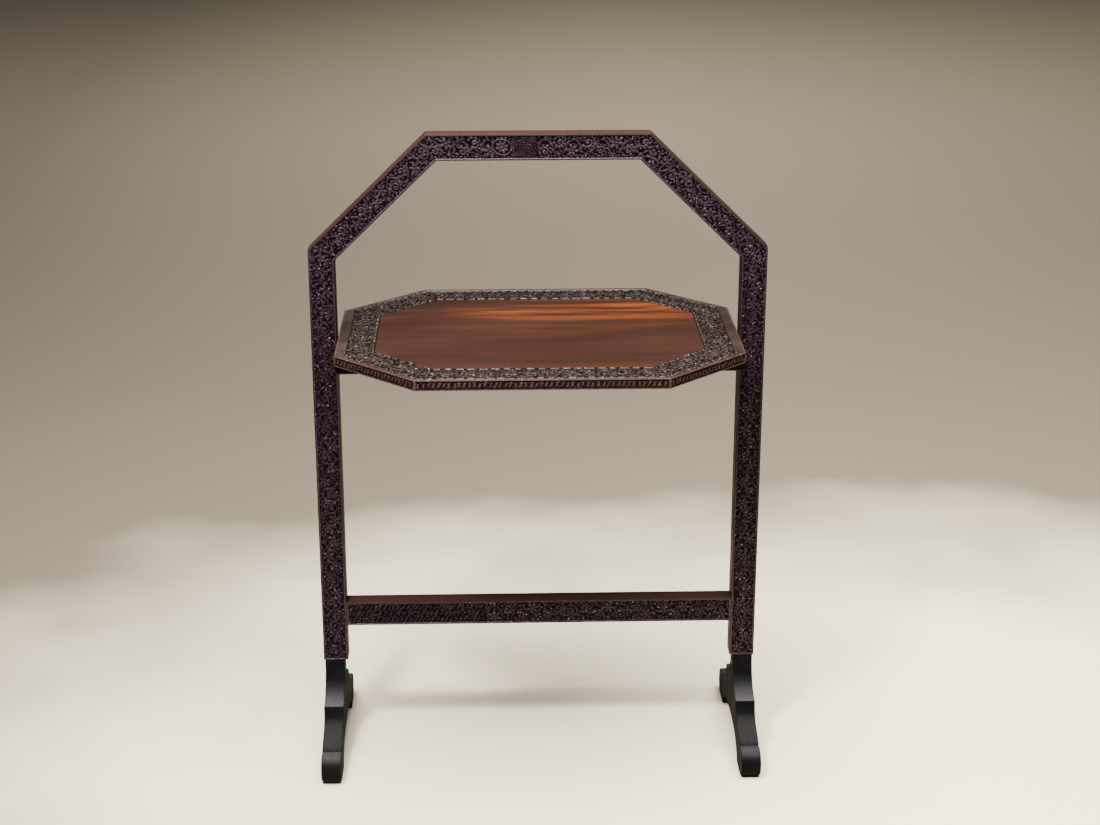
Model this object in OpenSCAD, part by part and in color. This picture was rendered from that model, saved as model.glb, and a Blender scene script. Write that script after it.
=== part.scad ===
// Folding tray table: an octagonal-arch frame on two scroll feet, and one octagonal
// tray that turns on two pins between the uprights and folds up inside the arch.
// X runs across the frame, Y from front to back, Z up. The origin is on the floor,
// in the middle of the frame.

/* [Frame] */
// Width of the frame across the outer faces of the uprights
frame_w = 530; // [480:5:600]
// Height of the top rail's upper face above the floor
frame_h = 764; // [700:2:840]
// Width of every frame member as seen from the front
member_w = 30; // [26:1:34]
// Depth of every frame member, front to back
member_d = 24; // [22:1:28]
// Height of the outer corner between an upright and its haunch
haunch_h = 631; // [600:1:650]
// Half length of the top rail along its upper edge
crown_half = 128; // [110:1:150]
// Height of the stretcher's lower edge
stretcher_z = 159; // [140:1:220]
// Width of the plain border left around the carving
border_w = 3; // [2:0.5:5]
// Depth of the ground that the carving stands in
ground_depth = 1; // [0.5:0.5:2]

/* [Feet] */
// Height of the joint between an upright and its foot
foot_h = 113; // [105:1:125]
// Thickness of the foot's board
foot_t = 24; // [22:1:26]
// Step from the upright's outer face in to the foot's outer face
foot_inset = 1.4; // [0:0.2:3]
// Height of the sharp nose under the upper cove
nose_z = 69.5; // [62:0.5:76]
// Radius of the upper cove
cove_r = 40; // [32:1:43]
// Height of the plain fillet under the nose
nose_fillet = 8; // [5:1:10]
// Distance of the toe scroll's centre from the middle of the foot
toe_y = 107; // [100:1:118]
// Radius of the toe scroll, which rests on the floor
toe_r = 17; // [14:1:19]
// Inner end of the flat sole, from the middle of the foot
sole_in = 78; // [70:1:86]
// Height of the arch under the foot
foot_arch_h = 28; // [20:1:36]

/* [Tray] */
// Half length of the tray, along the pins' axis
tray_half_l = 233; // [215:0.5:234]
// Half width of the tray, front to back
tray_half_w = 185.5; // [170:0.5:190]
// Half length of the tray's straight front edge
tray_front_half = 139.6; // [120:0.2:150]
// Half length of the tray's straight end edge
tray_end_half = 93.3; // [80:0.1:110]
// Thickness of the tray board
tray_t = 12; // [10:1:14]
// Height of the tray's upper face
tray_z = 529; // [500:1:560]
// Width of the carved border around the polished field
tray_border = 45.5; // [35:0.5:55]
// Depth of the polished field below the carved border
field_depth = 1; // [0.5:0.5:2]

/* [Bearers and pins] */
// Width of a bearer, along the pins' axis
bearer_w = 26; // [22:1:30]
// Thickness of a bearer
bearer_t = 12; // [11:1:14]
// Length of a bearer, front to back
bearer_l = 174; // [150:1:180]
// Chamfer on the lower ends of a bearer
bearer_chamfer = 2; // [1:0.5:4]
// Radius of a pivot pin
pin_r = 3; // [2.5:0.25:3.5]
// Depth of a pivot pin in its bearer
pin_bite = 21; // [15:1:22]
// Thickness of a washer
washer_t = 1.6; // [1:0.1:1.6]
// Outer radius of a washer
washer_r = 8; // [6:0.5:10]

/* [Joinery] */
// Depth of the stretcher's tenons in the uprights
tenon_l = 20; // [14:1:22]
// Thickness of the stretcher's tenons, front to back
tenon_t = 8; // [6:1:10]
// Shoulder above and below the stretcher's tenons
tenon_shoulder = 5; // [3:1:8]
// Length of the upright's tenon in the foot
foot_tenon_l = 32; // [25:1:34]
// Width of the upright's tenon in the foot, as seen from the front
foot_tenon_w = 10; // [8:1:12]
// Depth of the upright's tenon in the foot, front to back
foot_tenon_d = 16; // [12:1:18]
// Radius of the pegs
peg_r = 3; // [2.5:0.5:4]
// Thickness of a mitre tongue
tongue_t = 4; // [3:0.5:6]
// Length of a mitre tongue along the joint
tongue_l = 20; // [16:1:24]
// Length of a mitre tongue across the joint
tongue_across = 16; // [12:1:20]
// Radius of a bearer screw's shank
screw_r = 1.75; // [1.5:0.25:2]
// Radius of a bearer screw's head
screw_head_r = 3.5; // [3:0.25:4]
// Length of a bearer screw
screw_l = 19; // [17:1:21]

/* [Hidden] */

$fn = 48;
eps = 1; // overrun of a cutting solid past a face
half_w = frame_w / 2;
inner_half = half_w - member_w;
haunch_angle = atan2(frame_h - haunch_h, half_w - crown_half);
haunch_drop = member_w * tan((90 - haunch_angle) / 2);
crown_in = member_w * tan(haunch_angle / 2);

// Corners of the arch, right side, as [x, z]
outer_haunch = [half_w, haunch_h];
inner_haunch = [inner_half, haunch_h - haunch_drop];
outer_crown = [crown_half, frame_h];
inner_crown = [crown_half - crown_in, frame_h - member_w];

foot_x = half_w - foot_inset - foot_t / 2;
post_x = half_w - member_w / 2;
neck_half = member_d / 2;
pivot_z = tray_z - tray_t - bearer_t / 2;
bearer_x = tray_half_l - bearer_w / 2;
bearer_z = tray_z - tray_t - bearer_t;
peg_z = foot_h - foot_tenon_l / 2;
stretcher_mid = stretcher_z + member_w / 2;
running_gap = 0.05; // radial clearance of the pins in the uprights
washer_gap = 0.3; // radial clearance of a washer around its pin
glue_gap = 0.1; // room around a tongue in its slots
pin_inset = 0.5; // depth of a pin's end below the upright's outer face
slot_w = 0.9; // width of the slot in a screw's head
slot_depth = 0.8; // depth of that slot

walnut = [0.17, 0.11, 0.11];
ebony = [0.12, 0.12, 0.12];
rosewood = [0.33, 0.16, 0.10];
peg_wood = [0.25, 0.16, 0.12];
brass = [0.62, 0.48, 0.25];
steel = [0.45, 0.45, 0.46];

// A unit vector along v
function unit(v) = v / norm(v);
// The inward normal of the edge a-b of an outline that runs anticlockwise
function inward(a, b) = let (d = unit(b - a)) [-d[1], d[0]];
// The corner at b moved inwards by m, between the edges a-b and b-c
function inset_corner(a, b, c, m) =
    let (n1 = inward(a, b), n2 = inward(b, c)) b + m * (n1 + n2) / (1 + n1 * n2);
// An outline moved inwards by m all round
function inset(pts, m) =
    let (n = len(pts))
    [for (i = [0:n - 1]) inset_corner(pts[(i + n - 1) % n], pts[i], pts[(i + 1) % n], m)];
// Points of an arc, from angle a0 to a1, in steps
function arc(c, r, a0, a1, steps) =
    [for (i = [0:steps]) let (a = a0 + (a1 - a0) * i / steps) c + r * [cos(a), sin(a)]];
// Points of a cubic curve between its ends, without its last point
function curve(p0, p1, p2, p3, steps) =
    [for (i = [0:steps - 1]) let (t = i / steps, u = 1 - t)
        u * u * u * p0 + 3 * u * u * t * p1 + 3 * u * t * t * p2 + t * t * t * p3];
// A list of points from its last to its first
function reversed(pts) = [for (i = [len(pts) - 1:-1:0]) pts[i]];
// The same outline on the other side of the middle, in reverse order
function mirrored(pts) = [for (p = reversed(pts)) [-p[0], p[1]]];

// Outlines of the frame members, right side, anticlockwise as seen from the front
upright_outline = [[inner_half, foot_h], [half_w, foot_h], outer_haunch, inner_haunch];
haunch_outline = [inner_haunch, outer_haunch, outer_crown, inner_crown];
top_outline = [[-inner_crown[0], inner_crown[1]], inner_crown, outer_crown,
               [-crown_half, frame_h]];
stretcher_outline = [[-inner_half, stretcher_z], [inner_half, stretcher_z],
                     [inner_half, stretcher_z + member_w], [-inner_half, stretcher_z + member_w]];
tray_outline = [
    [tray_half_l, -tray_end_half], [tray_half_l, tray_end_half],
    [tray_front_half, tray_half_w], [-tray_front_half, tray_half_w],
    [-tray_half_l, tray_end_half], [-tray_half_l, -tray_end_half],
    [-tray_front_half, -tray_half_w], [tray_front_half, -tray_half_w]
];

// Half of a foot's outline as [y, z]: the arch underneath, the sole, the toe, the lower
// cove, the nose, and the upper cove up to the neck
nose = [neck_half + cove_r, nose_z];
toe = [toe_y, toe_r];
foot_half = concat(
    [[0, foot_arch_h]],
    reversed(curve([sole_in, 0], [sole_in - 8, 0.8 * foot_arch_h],
                   [sole_in / 2, foot_arch_h], [0, foot_arch_h], 10)),
    arc(toe, toe_r, -90, 110, 14),
    curve([toe_y - 9, 2 * toe_r - 1.5], [toe_y - 17, 2 * toe_r + 10],
          [nose[0] + 4, nose_z - nose_fillet - 21], [nose[0] + 1, nose_z - nose_fillet], 12),
    [[nose[0] + 1, nose_z - nose_fillet], nose],
    arc([nose[0], nose_z + cove_r], cove_r, 270, 180, 10),
    [[neck_half, foot_h]]
);
foot_outline = concat(foot_half, mirrored([for (i = [1:len(foot_half) - 1]) foot_half[i]]));

// Mirrors its children to the left where side is -1
module on_side(side) {
    if (side > 0) children();
    else mirror([1, 0, 0]) children();
}

// A bar of the frame: an [x, z] outline as deep as the members, with a sunk front panel
module member(outline) {
    difference() {
        rotate([90, 0, 0]) linear_extrude(member_d, center = true) polygon(outline);
        translate([0, ground_depth - member_d / 2, 0]) rotate([90, 0, 0])
            linear_extrude(ground_depth + eps) polygon(inset(outline, border_w));
    }
}

// A flat piece across the mitre joint from corner a to corner b, larger by gap all round
module tongue(a, b, gap) {
    mid = (a + b) / 2;
    angle = atan2(b[1] - a[1], b[0] - a[0]);
    translate([mid[0], 0, mid[1]]) rotate([0, -angle, 0])
        cube([tongue_l + 2 * gap, tongue_t + 2 * gap, tongue_across + 2 * gap], center = true);
}

module haunch_tongue(gap) { tongue(inner_haunch, outer_haunch, gap); }

module crown_tongue(gap) { tongue(inner_crown, outer_crown, gap); }

// The stretcher's tenon in the right upright
module stretcher_tenon() {
    translate([inner_half, -tenon_t / 2, stretcher_z + tenon_shoulder])
        cube([tenon_l, tenon_t, member_w - 2 * tenon_shoulder]);
}

// The peg through the stretcher's tenon, flush with the upright's back
module stretcher_peg_solid() {
    translate([inner_half + tenon_l / 2, -tenon_t, stretcher_mid]) rotate([-90, 0, 0])
        cylinder(h = tenon_t + member_d / 2, r = peg_r);
}

// The upright's tenon in the right foot
module foot_tenon() {
    translate([post_x - foot_tenon_w / 2, -foot_tenon_d / 2, foot_h - foot_tenon_l])
        cube([foot_tenon_w, foot_tenon_d, foot_tenon_l]);
}

// The peg across the right foot and the tenon in it
module foot_peg_solid() {
    translate([foot_x - foot_t / 2, 0, peg_z]) rotate([0, 90, 0])
        cylinder(h = foot_t, r = peg_r);
}

// The pivot pin's space: r is the radius
module pin_solid(r) {
    translate([tray_half_l - pin_bite, 0, pivot_z]) rotate([0, 90, 0])
        cylinder(h = half_w - pin_inset - tray_half_l + pin_bite, r = r);
}

module upright(side) {
    color(walnut) on_side(side) difference() {
        union() {
            member(upright_outline);
            foot_tenon();
        }
        stretcher_tenon();
        stretcher_peg_solid();
        foot_peg_solid();
        haunch_tongue(glue_gap);
        translate([inner_half - eps, 0, pivot_z]) rotate([0, 90, 0])
            cylinder(h = member_w + 2 * eps, r = pin_r + running_gap);
    }
}

module haunch(side) {
    color(walnut) on_side(side) difference() {
        member(haunch_outline);
        haunch_tongue(glue_gap);
        crown_tongue(glue_gap);
    }
}

module top_rail() {
    color(walnut) difference() {
        member(top_outline);
        for (side = [-1, 1]) on_side(side) crown_tongue(glue_gap);
    }
}

module stretcher() {
    color(walnut) difference() {
        union() {
            member(stretcher_outline);
            for (side = [-1, 1]) on_side(side) stretcher_tenon();
        }
        for (side = [-1, 1]) on_side(side) stretcher_peg_solid();
    }
}

module foot(side) {
    color(ebony) on_side(side) difference() {
        translate([foot_x, 0, 0]) rotate([90, 0, 90])
            linear_extrude(foot_t, center = true) polygon(foot_outline);
        foot_tenon();
        foot_peg_solid();
    }
}

module loose_haunch_tongue(side) { color(peg_wood) on_side(side) haunch_tongue(0); }

module loose_crown_tongue(side) { color(peg_wood) on_side(side) crown_tongue(0); }

module stretcher_peg(side) { color(peg_wood) on_side(side) stretcher_peg_solid(); }

module foot_peg(side) { color(peg_wood) on_side(side) foot_peg_solid(); }

module washer(side) {
    color(brass) on_side(side)
        translate([inner_half - washer_t, 0, pivot_z]) rotate([0, 90, 0]) difference() {
            cylinder(h = washer_t, r = washer_r);
            translate([0, 0, -eps]) cylinder(h = washer_t + 2 * eps, r = pin_r + washer_gap);
        }
}

// The space of a countersunk screw that points up, with its head's face at z = 0
module screw_space() {
    cylinder(h = screw_l, r = screw_r);
    cylinder(h = screw_head_r - screw_r, r1 = screw_head_r, r2 = screw_r);
}

// The four screw places along the right bearer, clear of the pin in its middle
module at_screws() {
    for (y = bearer_l * [-0.42, -0.16, 0.16, 0.42])
        translate([bearer_x, y, bearer_z]) children();
}

module bearer(side) {
    color(walnut) on_side(side) difference() {
        translate([bearer_x, 0, bearer_z]) rotate([90, 0, 90])
            linear_extrude(bearer_w, center = true) polygon([
                [-bearer_l / 2, bearer_t], [-bearer_l / 2, bearer_chamfer],
                [bearer_chamfer - bearer_l / 2, 0], [bearer_l / 2 - bearer_chamfer, 0],
                [bearer_l / 2, bearer_chamfer], [bearer_l / 2, bearer_t]
            ]);
        at_screws() screw_space();
        pin_solid(pin_r);
    }
}

module tray_board() {
    color(rosewood) difference() {
        translate([0, 0, tray_z - tray_t]) linear_extrude(tray_t) polygon(tray_outline);
        translate([0, 0, tray_z - field_depth])
            linear_extrude(field_depth + eps) polygon(inset(tray_outline, tray_border));
        for (side = [-1, 1]) on_side(side) at_screws() screw_space();
    }
}

module bearer_screws(side) {
    color(steel) on_side(side) at_screws() difference() {
        screw_space();
        cube([2 * screw_head_r + eps, slot_w, 2 * slot_depth], center = true);
    }
}

module pivot_pin(side) { color(brass) on_side(side) pin_solid(pin_r); }

upright(-1);  // left_upright
upright(1);  // right_upright
haunch(-1);  // left_haunch
haunch(1);  // right_haunch
top_rail();
stretcher();
foot(-1);  // left_foot
foot(1);  // right_foot
loose_haunch_tongue(-1);  // left_haunch_tongue
loose_haunch_tongue(1);  // right_haunch_tongue
loose_crown_tongue(-1);  // left_crown_tongue
loose_crown_tongue(1);  // right_crown_tongue
stretcher_peg(-1);  // left_stretcher_peg
stretcher_peg(1);  // right_stretcher_peg
foot_peg(-1);  // left_foot_peg
foot_peg(1);  // right_foot_peg
washer(-1);  // left_washer
washer(1);  // right_washer
tray_board();
bearer(-1);  // left_bearer
bearer(1);  // right_bearer
bearer_screws(-1);  // left_bearer_screws
bearer_screws(1);  // right_bearer_screws
pivot_pin(-1);  // left_pivot_pin
pivot_pin(1);  // right_pivot_pin
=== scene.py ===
"""Looks of the carved folding tray table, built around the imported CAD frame.

Lengths are in millimetres while shapes are worked out, and go to metres in make_mesh().
The carving is a height map that is filled stroke by stroke and then moves real mesh points.
"""
import math

import bpy
import numpy as np
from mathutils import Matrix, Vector


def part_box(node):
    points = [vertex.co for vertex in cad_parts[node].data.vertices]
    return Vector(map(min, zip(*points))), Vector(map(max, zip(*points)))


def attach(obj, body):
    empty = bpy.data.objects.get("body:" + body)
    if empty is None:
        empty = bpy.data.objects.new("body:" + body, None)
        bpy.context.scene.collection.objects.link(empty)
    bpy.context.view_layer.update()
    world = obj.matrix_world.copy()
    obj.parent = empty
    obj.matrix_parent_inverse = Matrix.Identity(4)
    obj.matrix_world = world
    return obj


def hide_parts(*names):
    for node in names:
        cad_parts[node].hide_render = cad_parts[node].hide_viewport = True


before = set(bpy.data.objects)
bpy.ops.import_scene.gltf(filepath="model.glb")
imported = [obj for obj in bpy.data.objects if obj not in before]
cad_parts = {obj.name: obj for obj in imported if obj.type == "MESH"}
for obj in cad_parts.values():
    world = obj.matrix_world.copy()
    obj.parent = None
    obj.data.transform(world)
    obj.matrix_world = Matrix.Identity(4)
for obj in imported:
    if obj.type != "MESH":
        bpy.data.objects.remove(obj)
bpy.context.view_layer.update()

MM = 0.001
RNG = np.random.default_rng(7)
TAU = 2 * math.pi

# ---- sizes from the frame


def span(node):
    """The lowest and highest corner of a CAD node, in millimetres."""
    low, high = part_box(node)
    return np.array(low) / MM, np.array(high) / MM


UPRIGHT = span("right_upright")
HAUNCH = span("right_haunch")
TOP = span("top_rail")
STRETCHER = span("stretcher")
FOOT = span("right_foot")
BOARD = span("tray_board")

HALF_DEPTH = UPRIGHT[1][1]
FOOT_TOP = FOOT[1][2]
INNER_X, OUTER_X = UPRIGHT[0][0], UPRIGHT[1][0]
FLIP = np.array([-1.0, 1.0])  # to the same corner on the left

ARRIS = 0.9  # radius of the worn edges
PROUD = 0.15  # how far the pegs' ends stand out of the wood
PANEL_EDGE = 1.8  # plain border beside the carving
PANEL_END = 1.5  # plain border where a member ends square
PANEL_SLOPE = 0.7  # width of the slope from a border down to the ground
GROUND = 1.7  # depth of the carving's ground
ROUNDNESS = 0.72  # power of a stroke's profile: below 1 its shoulders are full
RELIEF_STEP = 0.42  # cell of the height maps
TRAY_GROUND = 1.8  # depth of the ground on the tray
TRAY_FRONT_HALF = 139.6  # half length of the tray's straight front edge
TRAY_END_HALF = 93.3  # half length of its straight end edges
TRAY_BORDER = 45.5  # width of the tray's border
TRAY_RIM = 3.0  # width of the ring that carries the carved edge
TRAY_MARGIN = 6.5  # plain margin outside the border's carving
TRAY_END_MARGIN = 13.0  # the wider margin at the two short ends
FIELD_DROP = 1.0  # the polished field below the border

# ---- carving


class Relief:
    """A height map, from 0 at the ground to 1 at the top, over a rectangle of a plane."""

    def __init__(self, low, high, step):
        """A flat map from the low to the high corner, with cells of the step."""
        self.low = np.array(low, float)
        self.step = step
        size = np.ceil((np.array(high, float) - self.low) / step).astype(int) + 1
        self.h = np.zeros((size[1], size[0]), np.float32)

    def near(self, points, reach):
        """The part of the map within reach of the points: its slices and its coordinates."""
        low = np.floor((points.min(0) - reach - self.low) / self.step).astype(int)
        high = np.ceil((points.max(0) + reach - self.low) / self.step).astype(int) + 1
        low = np.maximum(low, 0)
        high = np.minimum(high, [self.h.shape[1], self.h.shape[0]])
        if (high <= low).any():
            return None
        across = self.low[0] + self.step * np.arange(low[0], high[0])
        up = self.low[1] + self.step * np.arange(low[1], high[1])
        where = (slice(low[1], high[1]), slice(low[0], high[0]))
        return where, np.stack(np.meshgrid(across, up), -1)

    def nearness(self, points, widths):
        """For each cell near a line of points, 1 on the line and 0 at its width or beyond."""
        points = np.asarray(points, float)
        widths = np.broadcast_to(np.asarray(widths, float), len(points))
        found = self.near(points, widths.max())
        if found is None:
            return None
        where, cells = found
        start, run = points[:-1], np.diff(points, axis=0)
        rel = cells[..., None, :] - start
        length2 = np.maximum((run ** 2).sum(-1), 1e-9)
        t = np.clip((rel * run).sum(-1) / length2, 0, 1)
        gap = np.linalg.norm(rel - t[..., None] * run, axis=-1)
        width = widths[:-1] + t * np.diff(widths)
        ratio = (gap / np.maximum(width, 1e-6)).min(-1)
        return where, np.clip(1 - ratio ** 2, 0, 1)

    def raise_line(self, points, widths, height=1.0, floor=0.0):
        """A rounded ridge along the points."""
        found = self.nearness(points, widths)
        if found:
            where, near = found
            ridge = np.where(near > 0, floor + (height - floor) * near ** ROUNDNESS, 0)
            self.h[where] = np.maximum(self.h[where], ridge)

    def cut_line(self, points, widths, depth):
        """A rounded groove along the points."""
        found = self.nearness(points, widths)
        if found:
            where, near = found
            self.h[where] = np.maximum(self.h[where] - depth * near, 0)

    def sample(self, across, up):
        """The height at each point, between the cells."""
        u = np.clip((across - self.low[0]) / self.step, 0, self.h.shape[1] - 1.001)
        v = np.clip((up - self.low[1]) / self.step, 0, self.h.shape[0] - 1.001)
        i, j = u.astype(int), v.astype(int)
        fu, fv = u - i, v - j
        low = self.h[j, i] * (1 - fu) + self.h[j, i + 1] * fu
        high = self.h[j + 1, i] * (1 - fu) + self.h[j + 1, i + 1] * fu
        return low * (1 - fv) + high * fv


def around(angle):
    """The unit vector at an angle."""
    return np.stack([np.cos(angle), np.sin(angle)], -1)


class Band:
    """A carved band: place(s, t) turns a distance along it and one across it into the plane."""

    def __init__(self, corners, closed=False):
        """corners holds pairs of points, inner and outer, one pair at each mitre."""
        self.inner = np.array([c[0] for c in corners], float)
        self.outer = np.array([c[1] for c in corners], float)
        if closed:
            self.inner = np.vstack([self.inner, self.inner[:1]])
            self.outer = np.vstack([self.outer, self.outer[:1]])
        middle = (self.inner + self.outer) / 2
        lengths = np.linalg.norm(np.diff(middle, axis=0), axis=1)
        self.stops = np.concatenate([[0], np.cumsum(lengths)])
        self.length = self.stops[-1]
        run = self.inner[1] - self.inner[0]
        across = self.outer[0] - self.inner[0]
        run /= np.linalg.norm(run)
        self.turn = run[0] * across[1] - run[1] * across[0]  # below 0 with the outer side right
        self.width = abs(self.turn)

    def place(self, s, t):
        """The point in the plane for a distance along the band and one across it."""
        s = np.asarray(s, float)
        t = np.asarray(t, float)
        i = np.clip(np.searchsorted(self.stops, s, "right") - 1, 0, len(self.stops) - 2)
        part = ((s - self.stops[i]) / (self.stops[i + 1] - self.stops[i]))[..., None]
        side = (t / self.width + 0.5)[..., None]
        start = self.inner[i] * (1 - side) + self.outer[i] * side
        end = self.inner[i + 1] * (1 - side) + self.outer[i + 1] * side
        return start * (1 - part) + end * part


def bead(relief, band, s, t, radius, height=1.0, run=0.01, rise=0.0):
    """A domed bead, round or drawn out along (run, rise)."""
    half = np.array([-0.5, 0.5])
    relief.raise_line(band.place(s + half * run, t + half * rise), radius, height, 0.1)


def leaf(relief, band, root, angle, length, width, bend, height):
    """A pointed leaf with a vein, from its root in band coordinates."""
    u = np.linspace(0, 1, 7)
    turn = angle + bend * u
    step = around(turn) * (length / 6)
    line = np.array(root) + np.vstack([[0, 0], np.cumsum(step[:-1], 0)])
    swell = np.sin(math.pi * np.clip(u * 0.92 + 0.06, 0, 1)) ** 0.8
    points = band.place(line[:, 0], line[:, 1])
    relief.raise_line(points, 0.25 + width * swell, height, 0.15)
    relief.cut_line(points[:-1], 0.25 * width + 0.12, 0.4)


def drops(relief, band, root, angle, length, radius):
    """A sprig of three drops that get smaller to its tip."""
    way = np.array([math.cos(angle), math.sin(angle)])
    for k, size in enumerate((1.0, 0.85, 0.65)):
        at = np.array(root) + way * length * (k + 0.3) / 3
        run = 0.5 * radius * way
        bead(relief, band, at[0], at[1], radius * size, RNG.uniform(0.75, 1.0), run[0], run[1])


def rosette(relief, band, centre, radius, petals, turn):
    """A small flower: round petals about a boss."""
    for way in around(turn + TAU * np.arange(petals) / petals):
        at = centre + way * radius * 0.68
        run = way * radius * 0.34
        bead(relief, band, at[0], at[1], 0.27 * radius, RNG.uniform(0.8, 1.0), run[0], run[1])
    bead(relief, band, centre[0], centre[1], 0.27 * radius)


def scroll(relief, band, centre, hand, start, radius, lobe):
    """A scroll that winds in to its eye, its back lined with rounded lobes."""
    u = np.linspace(0, 1, 22)
    angle = start + hand * TAU * 1.2 * u
    line = centre + (radius * (1 - 0.8 * u ** 0.9))[:, None] * around(angle)
    relief.raise_line(band.place(line[:, 0], line[:, 1]), lobe * (0.66 - 0.2 * u), 0.9, 0.1)
    count = int(0.8 * TAU * (radius + lobe) / (2.0 * lobe))
    for way in start + hand * TAU * np.linspace(0.02, 0.78, count):
        at = centre + (radius + 0.72 * lobe) * around(way)
        run = 0.9 * lobe * around(way + hand * 0.9)
        size = lobe * RNG.uniform(0.55, 0.78)
        bead(relief, band, at[0], at[1], size, RNG.uniform(0.7, 1.0), run[0], run[1])
    bead(relief, band, centre[0], centre[1], 0.75 * lobe)


def scrollwork(relief, band, start, end, reach, pitch, lobe):
    """Scrolls and flowers on alternate sides of a waving stem, with sprigs between them."""
    count = max(1, round((end - start) / pitch))
    pitch = (end - start) / count
    s = np.linspace(start, end, count * 16 + 1)
    t = -0.66 * reach * np.sin(TAU * (s - start) / pitch)
    for along, across in zip(s, t):
        bead(relief, band, along, across, lobe * RNG.uniform(0.55, 0.75), RNG.uniform(0.6, 0.95))
    radius = min(0.17 * pitch, 0.40 * reach)
    for k in range(2 * count):
        hand = 1 if k % 2 == 0 else -1
        middle = start + (k + 0.5) * pitch / 2 + RNG.normal(0, 0.35)
        offset = hand * (reach - radius - 1.55 * lobe) + RNG.normal(0, 0.3)
        centre = np.array([middle, offset])
        size = radius * RNG.uniform(0.92, 1.1)
        if k % 3 == 2:
            rosette(relief, band, centre, size + lobe, 6, RNG.uniform(0, TAU))
        else:
            scroll(relief, band, centre, hand, hand * RNG.uniform(3.4, 4.2), size, lobe)
        for side in (-1, 1):
            root = (middle + side * 0.26 * pitch, -hand * 0.12 * reach)
            way = -hand * (1.57 + side * RNG.uniform(0.3, 0.8))
            drops(relief, band, root, way, 0.5 * reach, 0.7 * lobe)
        drops(relief, band, (middle, -hand * 0.6 * reach), -hand * 1.57, 0.36 * reach, 0.75 * lobe)


def fill_with_beads(relief, band, start, end, reach, pitch, radius):
    """Small beads wherever the ground is still open."""
    for row, t in enumerate(np.arange(-reach, reach + 0.1, pitch * 0.87)):
        for s in np.arange(start + (row % 2) * pitch / 2, end, pitch):
            at = np.array([s, t]) + RNG.normal(0, 0.14 * pitch, 2)
            size = radius * RNG.uniform(0.75, 1.25)
            found = relief.near(band.place(at[0], at[1])[None], 0.7 * size)
            if found and relief.h[found[0]].mean() < 0.12:
                bead(relief, band, at[0], at[1], size, RNG.uniform(0.55, 0.95))


def bead_row(relief, band, start, end, t, pitch, length, width):
    """A row of drawn-out beads along a band."""
    for s in np.arange(start + pitch / 2, end, pitch):
        size = width * RNG.uniform(0.85, 1.15)
        run = length * RNG.uniform(0.6, 1.1)
        bead(relief, band, s + RNG.normal(0, 0.4), t, size, RNG.uniform(0.9, 1.12), run, 0.3)


def clear_oval(relief, band, s, half_l, half_w):
    """Take an oval back to the ground."""
    where, cells = relief.near(band.place(np.array([s - half_l, s + half_l]), np.zeros(2)), half_w)
    gap = (cells - band.place(s, 0.0)) / [half_l, half_w]
    relief.h[where] = np.where((gap ** 2).sum(-1) < 1, 0, relief.h[where])


def clear_stretch(relief, band, start, end, reach):
    """Take a stretch of a band back to the ground."""
    where, _ = relief.near(band.place(np.array([start, end]), np.array([-reach, reach])), 0)
    relief.h[where] = 0


def medallion(relief, band, s, half_l, half_w):
    """An oval ring with a flower inside it and small beads round it."""
    clear_oval(relief, band, s, half_l + 1.2, half_w + 1.2)
    angle = np.linspace(0, TAU, 33)
    oval = band.place(s + half_l * np.cos(angle), half_w * np.sin(angle))
    relief.raise_line(oval, 1.0, 0.95, 0.1)
    for way in angle[:-1:2]:
        at = (s + (half_l + 1.7) * math.cos(way), (half_w + 1.2) * math.sin(way))
        bead(relief, band, at[0], at[1], 0.8, 0.8)
    rosette(relief, band, np.array([s, 0.0]), 0.78 * half_w, 8, 0.2)


def stipple(relief, band, start, end, reach, pitch):
    """A patch of small bosses in staggered rows."""
    clear_stretch(relief, band, start, end, reach)
    for row, t in enumerate(np.arange(-reach + pitch / 2, reach, pitch * 0.8)):
        for s in np.arange(start + (row % 2) * pitch / 2, end, pitch):
            at = np.array([s, t]) + RNG.normal(0, 0.15, 2)
            bead(relief, band, at[0], at[1], pitch * 0.42, RNG.uniform(0.5, 0.95))


def slanted_leaves(relief, band, start, end, reach, pitch):
    """Rows of leaves that all lean the same way, over part of a band."""
    clear_stretch(relief, band, start, end, reach)
    for s in np.arange(start + pitch, end - pitch / 2, pitch):
        for row in range(3):
            root = (s + (row - 1.4) * 0.33 * reach, (row - 1.45) * 0.64 * reach)
            way, bend = 1.05 + RNG.normal(0, 0.12), RNG.normal(0, 0.4)
            leaf(relief, band, root, way, 0.62 * reach, 1.05, bend, RNG.uniform(0.75, 1))


def hand_cut(relief, pitch, amount):
    """Uneven tops, as a gouge leaves them."""
    high = relief.low + relief.step * np.array(relief.h.shape[::-1])
    uneven = Relief(relief.low, high + pitch, pitch)
    uneven.h[:] = RNG.uniform(0, 1, uneven.h.shape)
    _, cells = relief.near(np.array([relief.low, high]), 0)
    relief.h *= 1 - amount * uneven.sample(cells[..., 0], cells[..., 1])


# ---- meshes


def put_in_scene(name, data):
    """A new object in the scene."""
    thing = bpy.data.objects.new(name, data)
    bpy.context.scene.collection.objects.link(thing)
    return thing


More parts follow.
